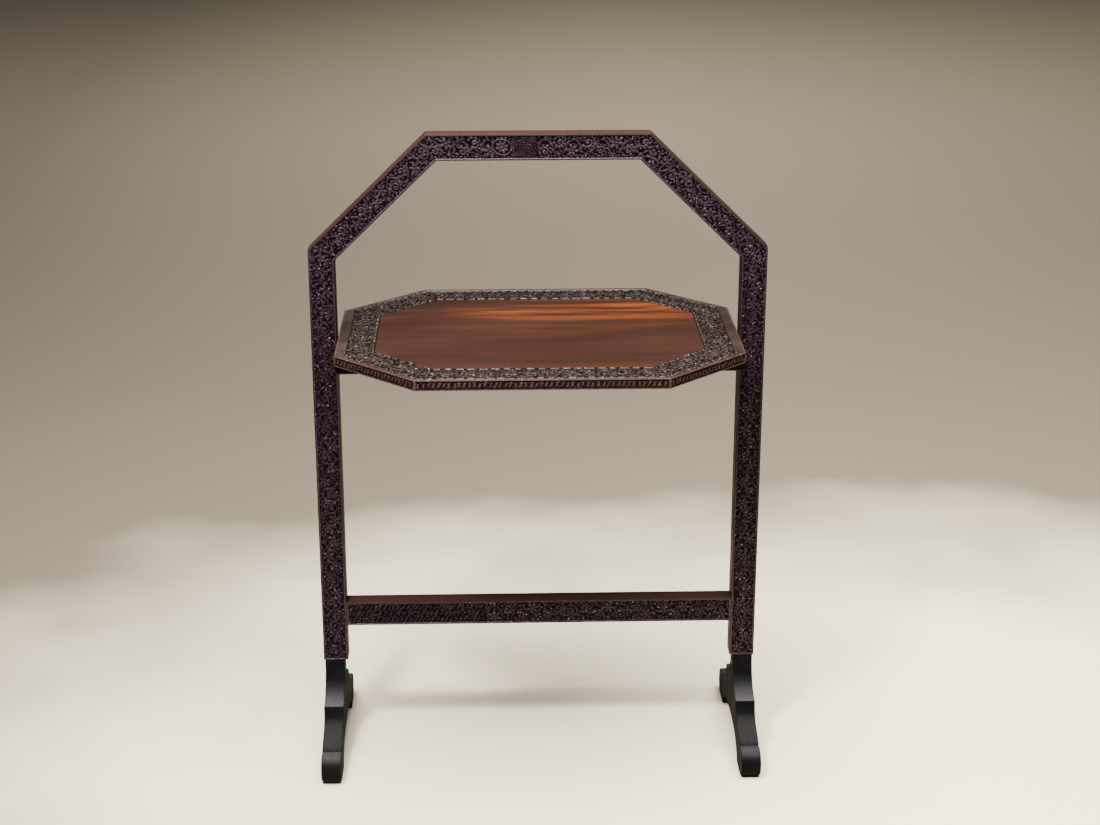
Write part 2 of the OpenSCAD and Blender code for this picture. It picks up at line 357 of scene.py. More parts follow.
def make_mesh(name, points, faces, materials, face_material=None, relief=None, grain=None):
    """A smooth-shaded object from points in millimetres, with its per-point attributes.
    Faces with more than four corners are the flat ends of a shape."""
    mesh = bpy.data.meshes.new(name)
    mesh.from_pydata((np.asarray(points) * MM).tolist(), [], faces)
    for material in materials:
        mesh.materials.append(material)
    if face_material is not None:
        mesh.polygons.foreach_set("material_index", np.asarray(face_material, np.int32))
    mesh.polygons.foreach_set("use_smooth", [len(face) < 5 for face in faces])
    if relief is not None:
        layer = mesh.attributes.new("relief", "FLOAT", "POINT")
        layer.data.foreach_set("value", np.asarray(relief, np.float32))
        layer = mesh.attributes.new("grain", "FLOAT_VECTOR", "POINT")
        layer.data.foreach_set("vector", (np.asarray(grain, np.float32) * MM).ravel())
    mesh.update()
    return put_in_scene(name, mesh)


def grid_faces(rows, columns, close_rows, close_columns):
    """Quads over a grid of points, row by row, wrapped round where asked."""
    i = np.arange(rows if close_rows else rows - 1)
    j = np.arange(columns if close_columns else columns - 1)
    i, j = np.meshgrid(i, j, indexing="ij")
    i2, j2 = (i + 1) % rows, (j + 1) % columns
    quads = np.stack([i * columns + j, i * columns + j2, i2 * columns + j2, i2 * columns + j], -1)
    return quads.reshape(-1, 4)


BAR_STEP = 0.52  # spacing of the points on a carved member
SIDE_POINTS = 7  # points across a member's plain side
BACK_POINTS = 9  # points across its plain back


def spread(length, spacing):
    """How many steps of about the spacing fit the length."""
    return max(2, int(math.ceil(length / spacing)))


def arc(middle, radius, first, last, steps):
    """Points of an arc, without its ends, at angles in degrees."""
    angle = np.radians(np.linspace(first, last, steps + 2)[1:-1])
    return middle + radius * around(angle)


def bar_section(width, depth):
    """The section of a bar as [across, depth] points, and which of them lie on the front."""
    w, d = width / 2, depth / 2
    r = ARRIS
    front = np.linspace(r - w, w - r, spread(width - 2 * r, BAR_STEP) + 1)
    side = np.linspace(r - d, d - r, SIDE_POINTS)
    back = np.linspace(w - r, r - w, BACK_POINTS)
    section = np.vstack([
        np.column_stack([front, np.full(len(front), -d)]),
        arc((w - r, r - d), r, -90, 0, 2),
        np.column_stack([np.full(SIDE_POINTS, w), side]),
        arc((w - r, d - r), r, 0, 90, 2),
        np.column_stack([back, np.full(BACK_POINTS, d)]),
        arc((r - w, d - r), r, 90, 180, 2),
        np.column_stack([np.full(SIDE_POINTS, -w), side[::-1]]),
        arc((r - w, r - d), r, 180, 270, 2),
    ])
    return section, np.arange(len(section)) < len(front)


def smooth(x):
    """0 below 0, 1 above 1, and a soft step between."""
    x = np.clip(x, 0, 1)
    return x * x * (3 - 2 * x)


def carved_panel(section, on_front, width, along, plain_ends):
    """1 where a member is carved, and 0 on its plain borders, sides and back."""
    across = np.abs(section[:, 0])[None, :]
    panel = smooth((width / 2 - PANEL_EDGE - across) / PANEL_SLOPE) * on_front[None, :]
    for border, distance in zip(plain_ends, (along, along[-1] - along)):
        if border:
            panel = panel * smooth((distance - border) / PANEL_SLOPE)
    return panel


def bar_faces(rows, on_front, flipped):
    """A member's quads and its two ends, and for each 0 on the carved front or else 1."""
    columns = len(on_front)
    quads = grid_faces(rows, columns, False, True)
    last = rows * columns
    caps = [list(range(columns)), list(range(last - columns, last))[::-1]]
    if flipped:
        caps = [cap[::-1] for cap in caps]
    else:
        quads = quads[:, ::-1]
    front = np.tile(on_front & np.roll(on_front, -1), rows - 1)
    return quads.tolist() + caps, np.concatenate([np.where(front, 0, 1), [1, 1]])


def carved_bar(name, start, end, relief, materials, plain_ends):
    """A frame member between two mitres, each given as its inner and outer corner (x, z).
    Its front is carved, but for a border at each end of the widths in plain_ends."""
    member = Band([start, end])
    section, on_front = bar_section(member.width, 2 * (HALF_DEPTH - PROUD))
    steps = spread(member.length, BAR_STEP)
    along = np.linspace(0, member.length, steps + 1)[:, None]
    flat = member.place(along, section[:, 0])
    height = relief.sample(flat[..., 0], flat[..., 1])
    carved = carved_panel(section, on_front, member.width, along, plain_ends) * (1 - height)
    depth = section[:, 1] + GROUND * carved
    points = np.stack([flat[..., 0], depth, flat[..., 1]], -1).reshape(-1, 3)
    faces, slots = bar_faces(steps + 1, on_front, member.turn < 0)
    grain = np.stack([np.broadcast_to(along, depth.shape),
                      np.broadcast_to(section[:, 0], depth.shape), depth], -1).reshape(-1, 3)
    grain = grain + RNG.uniform(0, 3000, 3)
    return make_mesh(name, points, faces, materials, slots, (1 - carved).ravel(), grain)


def inset_loop(loop, distance):
    """A closed outline moved inwards along the normals at its points."""
    ahead = np.roll(loop, -1, 0) - loop
    ahead /= np.linalg.norm(ahead, axis=1)[:, None]
    after = np.stack([-ahead[:, 1], ahead[:, 0]], 1)
    before = np.roll(after, 1, 0)
    scale = np.maximum(1 + (before * after).sum(1), 0.5)
    return loop + distance * (before + after) / scale[:, None]


def octagon(inset):
    """The tray's outline moved inwards, from its right end's front corner, anticlockwise."""
    x, y = BOARD[1][:2]
    front, end = TRAY_FRONT_HALF, TRAY_END_HALF
    outline = np.array([(x, -end), (x, end), (front, y), (-front, y),
                        (-x, end), (-x, -end), (-front, -y), (front, -y)])
    return inset_loop(outline, inset)


def octagon_loop(insets, spacing):
    """For each inset, a closed loop of points, all with the same count."""
    outer = octagon(0)
    lengths = np.linalg.norm(np.roll(outer, -1, 0) - outer, axis=1)
    counts = [spread(length, spacing) for length in lengths]
    loops = []
    for inset in insets:
        corner = octagon(inset)
        loop = [corner[k] + (corner[(k + 1) % 8] - corner[k]) * (np.arange(n) / n)[:, None]
                for k, n in enumerate(counts)]
        loops.append(np.vstack(loop))
    return np.array(loops)


def ring(name, loops, heights, material, value):
    """A closed ring round the tray, from its loops of points and their heights."""
    points = np.concatenate([loops, heights[..., None]], -1).reshape(-1, 3)
    faces = grid_faces(len(loops), loops.shape[1], True, True)
    return make_mesh(name, points, faces.tolist(), [material], None, value.ravel(), points)


# ---- materials


def add(tree, kind, inputs=None, **settings):
    """A shader node with its settings; an input given a socket is linked."""
    node = tree.nodes.new("ShaderNode" + kind)
    for key, value in settings.items():
        setattr(node, key, value)
    for key, value in (inputs or {}).items():
        if isinstance(value, bpy.types.NodeSocket):
            tree.links.new(value, node.inputs[key])
        else:
            node.inputs[key].default_value = value
    return node


def new_material(name):
    """A material, its node tree, its shader and the coordinates that stay with the object."""
    material = bpy.data.materials.new(name)
    material.use_nodes = True
    tree = material.node_tree
    spot = add(tree, "TexCoord").outputs["Object"]
    return material, tree, tree.nodes["Principled BSDF"], spot


def shade(tree, shader, body, roughness, normal):
    """Link a colour, a roughness and a bumped normal to the shader."""
    for key, socket in (("Base Color", body), ("Roughness", roughness), ("Normal", normal)):
        tree.links.new(socket, shader.inputs[key])


def ramp(tree, factor, stops):
    """A colour ramp with its stops as (position, colour)."""
    node = add(tree, "ValToRGB", {"Fac": factor})
    elements = node.color_ramp.elements
    while len(elements) < len(stops):
        elements.new(0.5)
    for element, (position, colour) in zip(elements, stops):
        element.position = position
        element.color = (*colour, 1)
    return node.outputs["Color"]


def grey(tree, factor, low, high, start=0.0, end=1.0):
    """A number that goes from low to high as the factor goes from start to end."""
    node = add(tree, "MapRange", {"Value": factor, "From Min": start, "From Max": end,
                                  "To Min": low, "To Max": high})
    return node.outputs["Result"]


def mix(tree, factor, first, second, how="MIX"):
    """One colour over another."""
    node = add(tree, "Mix", {0: factor}, data_type="RGBA", blend_type=how, clamp_factor=True)
    for index, value in ((6, first), (7, second)):
        if isinstance(value, bpy.types.NodeSocket):
            tree.links.new(value, node.inputs[index])
        else:
            node.inputs[index].default_value = (*value, 1)
    return node.outputs[2]


def maths(tree, how, first, second=0.0):
    """One number from two, or from one where the operation takes one."""
    return add(tree, "Math", {0: first, 1: second}, operation=how).outputs[0]


def times(tree, first, second):
    """The product of two numbers."""
    return maths(tree, "MULTIPLY", first, second)


def stretched(tree, vector, scale):
    """Coordinates scaled along each axis, so that a pattern is drawn out where it is small."""
    return add(tree, "Mapping", {"Vector": vector, "Scale": scale}).outputs["Vector"]


def noise(tree, vector, scale, detail, rough=0.55, distortion=0.0):
    """Cloudy noise of about 0.5."""
    node = add(tree, "TexNoise", {"Vector": vector, "Scale": scale, "Detail": detail,
                                  "Roughness": rough, "Distortion": distortion})
    return node.outputs["Fac"]


def bump(tree, height, distance, strength, before=None):
    """A bumped normal, over another one if given; the distance is in metres."""
    inputs = {"Height": height, "Distance": distance, "Strength": strength}
    if before is not None:
        inputs["Normal"] = before
    return add(tree, "Bump", inputs).outputs["Normal"]


def part_of(tree, vector, axis):
    """One coordinate of a vector."""
    return add(tree, "SeparateXYZ", {"Vector": vector}).outputs[axis]


def facing_up(tree):
    """How far a surface faces upwards, from -1 to 1."""
    return part_of(tree, add(tree, "NewGeometry").outputs["Normal"], "Z")


def dust_and_top_light(tree, body, dust_and_light, spot):
    """Pale dust and wear where a surface faces upwards, together with painted light: upward faces
    painted lighter, as if lit from above.
    """
    specks = grey(tree, noise(tree, spot, 420.0, 4.0, 0.7), 0.35, 1.0, 0.4, 0.62)
    up = grey(tree, facing_up(tree), 0.0, 0.7, 0.35, 1.0)
    return mix(tree, times(tree, up, specks), body, dust_and_light)


def painted_top_light(tree, body, dust_and_light, amount, spot, relief):
    """Painted light: the tops lighter high up, standing in for the stronger light that falls on the
    top of the frame.
    """
    # painted light: the tops lighten towards the top rail
    worn = times(tree, grey(tree, part_of(tree, spot, "Z"), 0.0, amount, 0.50, 0.75),
                 grey(tree, relief, 0.0, 1.0, 0.15, 0.75))
    return mix(tree, worn, body, dust_and_light)


def painted_glints(tree, body, colour, scale, spot, relief):
    """Painted highlights: small bright spots on the tops, in patches, and on the beads that stand
    highest, in place of glints of light.
    """
    spots = add(tree, "TexVoronoi", {"Vector": spot, "Scale": scale}).outputs["Distance"]
    tops = times(tree, grey(tree, relief, 0.0, 1.0, 0.40, 0.62),
                 grey(tree, relief, 1.0, 0.0, 0.97, 0.99))
    tops = times(tree, tops, grey(tree, noise(tree, spot, 70.0, 2.0), 0.25, 1.0, 0.4, 0.6))
    tops = times(tree, tops, grey(tree, spots, 1.0, 0.0, 0.12, 0.30))
    # painted highlight on the beads that stand highest
    tops = maths(tree, "ADD", tops, grey(tree, relief, 0.0, 0.7, 1.01, 1.07))
    return mix(tree, tops, body, colour)


GROUND_ROUGH = 0.6  # roughness of the carving's ground


def carved_wood(name, deep, low, high, dust_and_light, top_rough, shine, tint, glint_colour, glint_scale,
                top_light=0.0):
    """Carved wood: the ground painted dark as shade in its recesses, the tops lighter with wax and
    a painted sheen, and painted highlights in spots.
    """
    material, tree, shader, spot = new_material(name)
    relief = add(tree, "Attribute", attribute_name="relief").outputs["Fac"]
    patches = noise(tree, spot, 26.0, 5.0, 0.6)
    fine = noise(tree, spot, 900.0, 3.0, 0.6)
    # the ground is painted darker than the tops: painted shade in the carving's recesses
    body = ramp(tree, relief, [(0.0, deep), (0.4, low), (0.9, high), (1.0, high)])
    # wax in patches on the tops, partly real wax and partly a painted sheen
    wax_and_sheen = times(tree, grey(tree, patches, 0.0, 0.8, 0.45, 0.75),
                grey(tree, relief, 0.0, 1.0, 0.4, 1.0))
    body = mix(tree, wax_and_sheen, body, dust_and_light)
    # painted light on the tops towards the top rail
    if top_light:
        body = painted_top_light(tree, body, dust_and_light, top_light, spot, relief)
    body = mix(tree, grey(tree, fine, 0.0, 0.6, 0.42, 0.72), body, deep)
    # painted highlights on the tops
    body = painted_glints(tree, body, glint_colour, glint_scale, spot, relief)
    roughness = maths(tree, "ADD", grey(tree, relief, GROUND_ROUGH, top_rough, 0.1, 0.8),
                      grey(tree, patches, -0.08, 0.1, 0.3, 0.7))
    tree.links.new(grey(tree, relief, 0.02, shine, 0.1, 0.8), shader.inputs["Specular IOR Level"])
    shader.inputs["Specular Tint"].default_value = (*tint, 1)
    punched = add(tree, "TexVoronoi", {"Vector": spot, "Scale": 720.0}).outputs["Distance"]
    tooled = times(tree, punched, grey(tree, relief, 1.0, 0.12, 0.1, 0.6))
    normal = bump(tree, tooled, 0.0007, 0.8)
    normal = bump(tree, fine, 0.0003, 0.5, normal)
    shade(tree, shader, body, roughness, normal)
    return material


WOOD_BUMP = 0.0004  # depth of the grain in plain wood, in metres


def plain_wood(name, dark, middle, light, rough, along, use_grain=False, shine=0.2, dust_and_light=None):
    """Straight-grained wood: streaks along the grain, pores and a waxed surface.
    The grain follows the mesh's own grain attribute, or else the object's axes."""
    material, tree, shader, spot = new_material(name)
    if use_grain:
        spot = add(tree, "Attribute", attribute_name="grain").outputs["Vector"]
    drawn_out = stretched(tree, spot, along)
    streak = noise(tree, drawn_out, 60.0, 6.0, 0.6, 0.6)
    pores = noise(tree, drawn_out, 420.0, 3.0, 0.6)
    patches = noise(tree, spot, 14.0, 4.0, 0.5)
    body = ramp(tree, streak, [(0.3, dark), (0.52, middle), (0.75, light)])
    body = mix(tree, grey(tree, patches, 0.0, 0.55, 0.4, 0.7), body, dark)
    body = mix(tree, grey(tree, pores, 0.0, 0.6, 0.56, 0.72), body, dark)
    # dust and a painted top light on the upward faces
    if dust_and_light:
        body = dust_and_top_light(tree, body, dust_and_light, spot)
    roughness = maths(tree, "ADD", grey(tree, patches, rough - 0.08, rough + 0.1, 0.35, 0.7),
                      grey(tree, pores, 0.0, 0.12, 0.5, 0.7))
    shader.inputs["Specular IOR Level"].default_value = shine
    normal = bump(tree, pores, WOOD_BUMP, 0.5)
    normal = bump(tree, streak, WOOD_BUMP, 0.35, normal)
    shade(tree, shader, body, roughness, normal)
    return material


def foot_dust_and_light(tree, spot, specks):
    """Where a foot is painted pale: dust and painted top light on its toes, a painted highlight
    along its noses, and a little on every top.
    """
    up = facing_up(tree)
    out = maths(tree, "ABSOLUTE", part_of(tree, spot, "Y"))
    toe = times(tree, grey(tree, out, 0.0, 1.0, 0.0975, 0.0995),
                grey(tree, up, 0.0, 0.17, 0.62, 0.9))
    # painted highlight along the top of the nose
    nose = times(tree, grey(tree, part_of(tree, spot, "Z"), 0.0, 1.0, 0.0685, 0.0695),
                 times(tree, grey(tree, out, 0.0, 0.5, 0.022, 0.052),
                       grey(tree, up, 0.3, 1.0, 0.3, 0.9)))
    dust_and_light = maths(tree, "ADD", maths(tree, "ADD", toe, nose), grey(tree, up, 0.0, 0.16, 0.5, 0.95))
    return times(tree, dust_and_light, grey(tree, specks, 0.5, 1.0, 0.38, 0.60))


def ebonised_wood():
    """The feet's black wood, with dust and painted top light where it faces upwards."""
    material, tree, shader, spot = new_material("ebonised")
    pores = noise(tree, stretched(tree, spot, (1.0, 0.15, 1.0)), 420.0, 3.0, 0.6)
    patches = noise(tree, spot, 30.0, 4.0, 0.6)
    specks = noise(tree, spot, 520.0, 4.0, 0.7)
    body = ramp(tree, patches, [(0.35, (0.0024, 0.0021, 0.0025)), (0.65, (0.0062, 0.0058, 0.0063))])
    body = mix(tree, grey(tree, pores, 0.0, 0.6, 0.5, 0.68), body, (0.0015, 0.0014, 0.0016))
    # pale grey dust and painted top light
    body = mix(tree, foot_dust_and_light(tree, spot, specks), body, (0.105, 0.102, 0.102))
    shader.inputs["Specular IOR Level"].default_value = 0.03
    normal = bump(tree, pores, 0.0003, 0.5)
    normal = bump(tree, specks, 0.0003, 0.4, normal)
    shade(tree, shader, body, grey(tree, patches, 0.7, 0.9, 0.35, 0.7), normal)
    return material


def between(tree, value, first, full, fade, last):
    """1 from full to fade, and 0 before first and after last."""
    return times(tree, grey(tree, value, 0.0, 1.0, first, full),
                 grey(tree, value, 1.0, 0.0, fade, last))


def painted_reflection(tree, body, spot, figure):
    """Painted reflection on the field: faint orange over its rear half, following the figure, and
    strong orange streaks near its rear edge.
    """
    rear = between(tree, part_of(tree, spot, "Y"), 0.040, 0.085, 0.118, 0.140)
    middle = between(tree, part_of(tree, spot, "X"), -0.120, 0.000, 0.150, 0.205)
    streaks = grey(tree, noise(tree, stretched(tree, spot, (0.09, 1.0, 1.0)), 62.0, 4.0, 0.5, 0.5),
                   0.0, 1.0, 0.40, 0.62)
    reflection_glow = times(tree, times(tree, rear, middle), streaks)
    faint_reflection = times(tree, grey(tree, part_of(tree, spot, "Y"), 0.0, 0.45, -0.06, 0.10),
                  grey(tree, figure, 0.0, 1.0, 0.52, 0.66))
    body = mix(tree, faint_reflection, body, (0.078, 0.0198, 0.0044))
    return mix(tree, reflection_glow, body, (0.185, 0.038, 0.0046))


def field_wood():
    """The tray's polished field: rosewood, with a painted reflection in bright streaks towards its
    rear.
    """
    material, tree, shader, spot = new_material("polished_rosewood")
    figure = noise(tree, stretched(tree, spot, (0.13, 1.0, 1.0)), 26.0, 6.0, 0.55, 0.9)
    lines = noise(tree, stretched(tree, spot, (0.05, 1.0, 1.0)), 150.0, 4.0, 0.6, 0.3)
    pores = noise(tree, stretched(tree, spot, (0.06, 1.0, 1.0)), 900.0, 2.0, 0.5)
    patches = noise(tree, stretched(tree, spot, (0.5, 1.0, 1.0)), 11.0, 3.0, 0.5)
    body = ramp(tree, figure, [(0.32, (0.016, 0.0052, 0.0028)), (0.50, (0.022, 0.0068, 0.0032)),
                               (0.62, (0.029, 0.0086, 0.0036)), (0.76, (0.041, 0.0118, 0.0042))])
    body = mix(tree, grey(tree, lines, 0.0, 0.4, 0.50, 0.68), body, (0.021, 0.007, 0.0045))
    body = painted_reflection(tree, body, spot, figure)
    body = mix(tree, grey(tree, pores, 0.0, 0.4, 0.58, 0.70), body, (0.016, 0.0055, 0.0035))
    shader.inputs["Specular IOR Level"].default_value = 0.35
    shader.inputs["Coat Weight"].default_value = 0.15
    shader.inputs["Coat Roughness"].default_value = 0.2
    normal = bump(tree, pores, 0.00012, 0.4)
    normal = bump(tree, patches, 0.0015, 0.15, normal)
    shade(tree, shader, body, grey(tree, patches, 0.32, 0.44, 0.35, 0.7), normal)
    return material


def metal(name, colour, tarnish, rough):
    """Old metal with dark patches."""
    material, tree, shader, spot = new_material(name)
    patches = noise(tree, spot, 300.0, 6.0, 0.65)
    body = mix(tree, grey(tree, patches, 0.0, 0.85, 0.42, 0.68), colour, tarnish)
    shader.inputs["Metallic"].default_value = 1.0
    normal = bump(tree, noise(tree, spot, 1500.0, 3.0), 0.0001, 0.4)
    shade(tree, shader, body, grey(tree, patches, rough, rough + 0.25, 0.35, 0.7), normal)
    return material


FRAME_CARVED = carved_wood(
    "carved_frame", deep=(0.0032, 0.0013, 0.0021), low=(0.0090, 0.0038, 0.0063),
    high=(0.0186, 0.0087, 0.0133), dust_and_light=(0.0466, 0.0294, 0.0406), top_rough=0.27, shine=0.22,
    tint=(1.0, 0.86, 1.0), glint_colour=(0.1590, 0.1239, 0.1508), glint_scale=250.0, top_light=0.85)
TRAY_CARVED = carved_wood(
    "carved_tray", deep=(0.0045, 0.0022, 0.0016), low=(0.0110, 0.0062, 0.0050),
    high=(0.0212, 0.0132, 0.0111), dust_and_light=(0.048, 0.035, 0.031), top_rough=0.30, shine=0.26,
    tint=(1.0, 0.95, 0.93), glint_colour=(0.200, 0.165, 0.155), glint_scale=230.0)
EDGE_CARVED = carved_wood(
    "carved_edge", deep=(0.0100, 0.0038, 0.0036), low=(0.0250, 0.0112, 0.0098),
    high=(0.050, 0.0290, 0.0255), dust_and_light=(0.076, 0.054, 0.048), top_rough=0.40, shine=0.10,
    tint=(1.0, 0.93, 0.91), glint_colour=(0.140, 0.108, 0.100), glint_scale=300.0)
# the plain frame's dust colour also serves as a painted top light on its upward faces
FRAME_PLAIN = plain_wood(
    "plain_frame", dark=(0.008, 0.003, 0.0026), middle=(0.017, 0.0055, 0.0045),
    light=(0.038, 0.011, 0.008), rough=0.58, along=(0.06, 1.0, 1.0), use_grain=True,
    shine=0.12, dust_and_light=(0.042, 0.018, 0.0135))
TRAY_PLAIN = plain_wood(
    "tray_underside", dark=(0.014, 0.006, 0.004), middle=(0.028, 0.012, 0.008),
    light=(0.050, 0.021, 0.013), rough=0.5, along=(0.08, 1.0, 1.0))
BEARER_WOOD = plain_wood(
    "bearer_wood", dark=(0.004, 0.0022, 0.0018), middle=(0.008, 0.0045, 0.0036),
    light=(0.015, 0.0085, 0.0066), rough=0.8, along=(1.0, 0.08, 1.0), shine=0.05)
JOINERY = plain_wood(
    "joinery", dark=(0.020, 0.009, 0.006), middle=(0.040, 0.018, 0.011),
    light=(0.070, 0.034, 0.021), rough=0.5, along=(1.0, 1.0, 0.2))
TRAY_FIELD = field_wood()
EBONISED = ebonised_wood()
BRASS = metal("old_brass", colour=(0.42, 0.29, 0.11), tarnish=(0.09, 0.06, 0.03), rough=0.34)
STEEL = metal("old_steel", colour=(0.30, 0.29, 0.28), tarnish=(0.07, 0.05, 0.04), rough=0.40)

# ---- the frame

# Pairs of corners (x, z), inner and outer: on the foot, at the two mitres, on the stretcher
RIGHT_FOOT_CORNERS = np.array([(INNER_X, FOOT_TOP), (OUTER_X, FOOT_TOP)])
RIGHT_HAUNCH = np.array([(INNER_X, HAUNCH[0][2]), (OUTER_X, UPRIGHT[1][2])])
RIGHT_CROWN = np.array([(HAUNCH[0][0], TOP[0][2]), (TOP[1][0], TOP[1][2])])
RIGHT_END = np.array([(INNER_X, corner[2]) for corner in STRETCHER])
LEFT_FOOT_CORNERS, LEFT_HAUNCH, LEFT_CROWN, LEFT_END = (
    pair * FLIP for pair in (RIGHT_FOOT_CORNERS, RIGHT_HAUNCH, RIGHT_CROWN, RIGHT_END))

FRAME_RELIEF = Relief((-OUTER_X, FOOT_TOP), (OUTER_X, TOP[1][2]), RELIEF_STEP)
ARCH = Band([LEFT_FOOT_CORNERS, LEFT_HAUNCH, LEFT_CROWN, RIGHT_CROWN, RIGHT_HAUNCH,
             RIGHT_FOOT_CORNERS])
RAIL = Band([LEFT_END, RIGHT_END])
REACH = (OUTER_X - INNER_X) / 2 - PANEL_EDGE


def carve_frame():
    """The running scrolls of the arch and of the stretcher."""
    relief, middle, margin = FRAME_RELIEF, ARCH.length / 2, 3
    scrollwork(relief, ARCH, margin, ARCH.length - margin, REACH, pitch=32, lobe=2.15)
    scrollwork(relief, RAIL, margin, RAIL.length - margin, REACH, pitch=30, lobe=1.9)
    slanted_leaves(relief, RAIL, margin, 0.36 * RAIL.length, REACH, pitch=5.6)
    stipple(relief, ARCH, middle - 28, middle - 1, REACH, pitch=2.6)
    medallion(relief, ARCH, middle - 41, half_l=10.5, half_w=9.0)
    for band in (ARCH, RAIL):
        fill_with_beads(relief, band, 1, band.length - 1, REACH, pitch=3.2, radius=1.6)
    hand_cut(relief, pitch=1.6, amount=0.42)


carve_frame()

# Each member's node, its two mitres, and the width of plain wood at each end of its carving
FRAME_PARTS = [
    ("left_upright", LEFT_FOOT_CORNERS, LEFT_HAUNCH, (PANEL_END, 0)),
    ("right_upright", RIGHT_FOOT_CORNERS, RIGHT_HAUNCH, (PANEL_END, 0)),
    ("left_haunch", LEFT_HAUNCH, LEFT_CROWN, (0, 0)),
    ("right_haunch", RIGHT_HAUNCH, RIGHT_CROWN, (0, 0)),
    ("top_rail", LEFT_CROWN, RIGHT_CROWN, (0, 0)),
    ("stretcher", LEFT_END, RIGHT_END, (PANEL_END, PANEL_END)),
]


def make_frame():
    """The six carved members."""
    for node, start, end, plain in FRAME_PARTS:
        bar = carved_bar(node + "_carved", start, end, FRAME_RELIEF,
                         [FRAME_CARVED, FRAME_PLAIN], plain)
        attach(bar, "frame")
        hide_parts(node)


make_frame()

# ---- the feet

NECK = HALF_DEPTH  # half depth of the foot where it meets the upright
COVE_R = 40.0  # radius of the upper cove
NOSE_Z = 69.5  # height of the sharp nose under the cove
NOSE_FILLET = 8.0  # height of the plain fillet under the nose
TOE_R = 17.0  # radius of the toe scroll
TOE = np.array([107.0, TOE_R])  # centre of the toe scroll
SOLE_IN = 78.0  # inner end of the flat sole
FOOT_ARCH = 28.0  # height of the arch under the foot
FOOT_ARRIS = 1.3  # radius of the foot's worn edges
FACET = math.radians(38)  # edges sharper than this stay crisp


def curve(p0, p1, p2, p3, steps):
    """Points of a cubic curve, without its last point."""
    t = np.arange(steps)[:, None] / steps
    u = 1 - t
    p0, p1, p2, p3 = (np.array(p, float) for p in (p0, p1, p2, p3))
    return u ** 3 * p0 + 3 * u * u * t * p1 + 3 * u * t * t * p2 + t ** 3 * p3


def foot_outline():
    """The foot's outline as (y, z), anticlockwise from the middle of its arch."""
    nose = np.array([NECK + COVE_R, NOSE_Z])
    half = np.vstack([
        [[0, FOOT_ARCH]],
        curve((SOLE_IN, 0), (SOLE_IN - 8, 0.8 * FOOT_ARCH), (SOLE_IN / 2, FOOT_ARCH),
              (0, FOOT_ARCH), 24)[:0:-1],
        [[SOLE_IN, 0], [TOE[0], 0]],
        arc(TOE, TOE_R, -90, 110, 30),
        curve((TOE[0] - 9, 2 * TOE_R - 1.5), (TOE[0] - 17, 2 * TOE_R + 10),
              (nose[0] + 4, NOSE_Z - NOSE_FILLET - 21), (nose[0] + 1, NOSE_Z - NOSE_FILLET), 24),
        [nose + (1, -NOSE_FILLET), nose],
        arc(nose + (0, COVE_R), COVE_R, 270, 180, 24),
        [[NECK, NOSE_Z + COVE_R], [NECK, FOOT_TOP]],
    ])
    return np.vstack([half, (half[1:] * FLIP)[::-1]])


def foot_rows(half):
    """Across a foot's thickness, each row's place and how far its outline moves in."""
    r = FOOT_ARRIS
    angles = np.radians([0, 30, 60, 90])
    rows = [(r * (1 - math.sin(a)) - half, r * (1 - math.cos(a))) for a in angles[::-1]]
    rows += [(x, 0.0) for x in np.linspace(r - half, half - r, 7)[1:-1]]
    rows += [(half - r * (1 - math.sin(a)), r * (1 - math.cos(a))) for a in angles]
    return rows


def make_foot(node):
    """A board sawn to the outline, with worn arrises."""
    low, high = span(node)
    middle, half = (low[0] + high[0]) / 2, (high[0] - low[0]) / 2 - PROUD
    outline = foot_outline()
    layers = []
    for x, inset in foot_rows(half):
        loop = inset_loop(outline, inset)
        layers.append(np.column_stack([np.full(len(loop), middle + x), loop]))
    count = len(outline)
    last = (len(layers) - 1) * count
    faces = grid_faces(len(layers), count, False, True)[:, ::-1].tolist()
    faces += [list(range(count))[::-1], list(range(last, last + count))]
    foot = make_mesh(node + "_shaped", np.vstack(layers), faces, [EBONISED])
    facets = foot.modifiers.new("facets", "EDGE_SPLIT")
    facets.split_angle = FACET
    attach(foot, "frame")
    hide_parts(node)


for foot_node in ("left_foot", "right_foot"):
    make_foot(foot_node)

# ---- the tray

TRAY_TOP = BOARD[1][2]
TRAY_BOTTOM = BOARD[0][2]
CARVING_DEPTH = 5.0  # thickness of the border's own ring
BORDER_STEP = 0.88  # spacing of the border's points along the tray
BORDER_ROW = 0.8  # spacing of its points across the border
EDGE_STEP = 0.62  # spacing of the edge's points along the tray
EDGE_ROW = 0.55  # spacing of its points up the edge
EDGE_GROUND = 1.0  # depth of the ground of the edge band
EDGE_ROUND = 1.0  # radius of the rounding above and below the edge band
RIM_TONE = 0.6  # tone of the plain rim, between 0 for the ground and 1 for the tops


def tray_band(inner_inset, outer_inset):
    """A closed band round the tray, between two insets."""
    inner, outer = octagon(inner_inset), octagon(outer_inset)
    return Band(list(zip(inner, outer)), closed=True)


def border_relief():
    """Scrolls on a filled ground, between two rows of drawn-out beads."""
    relief = Relief(BOARD[0][:2], BOARD[1][:2], RELIEF_STEP)
    inner, outer = TRAY_BORDER - 0.6, TRAY_MARGIN
    band = tray_band(inner - 5.2, outer + 5.2)
    scrollwork(relief, band, 0, band.length, band.width / 2, pitch=44, lobe=2.9)
    fill_with_beads(relief, band, 0, band.length, band.width / 2, pitch=4.6, radius=2.1)
    hand_cut(relief, pitch=2.2, amount=0.4)
    inner_row = tray_band(inner - 1, inner - 3)
    bead_row(relief, inner_row, 0, inner_row.length, 0, pitch=13.0, length=8.6, width=1.7)
    outer_row = tray_band(outer + 3, outer + 1)
    bead_row(relief, outer_row, 0, outer_row.length, 0, pitch=11.0, length=7.2, width=1.6)
    return relief


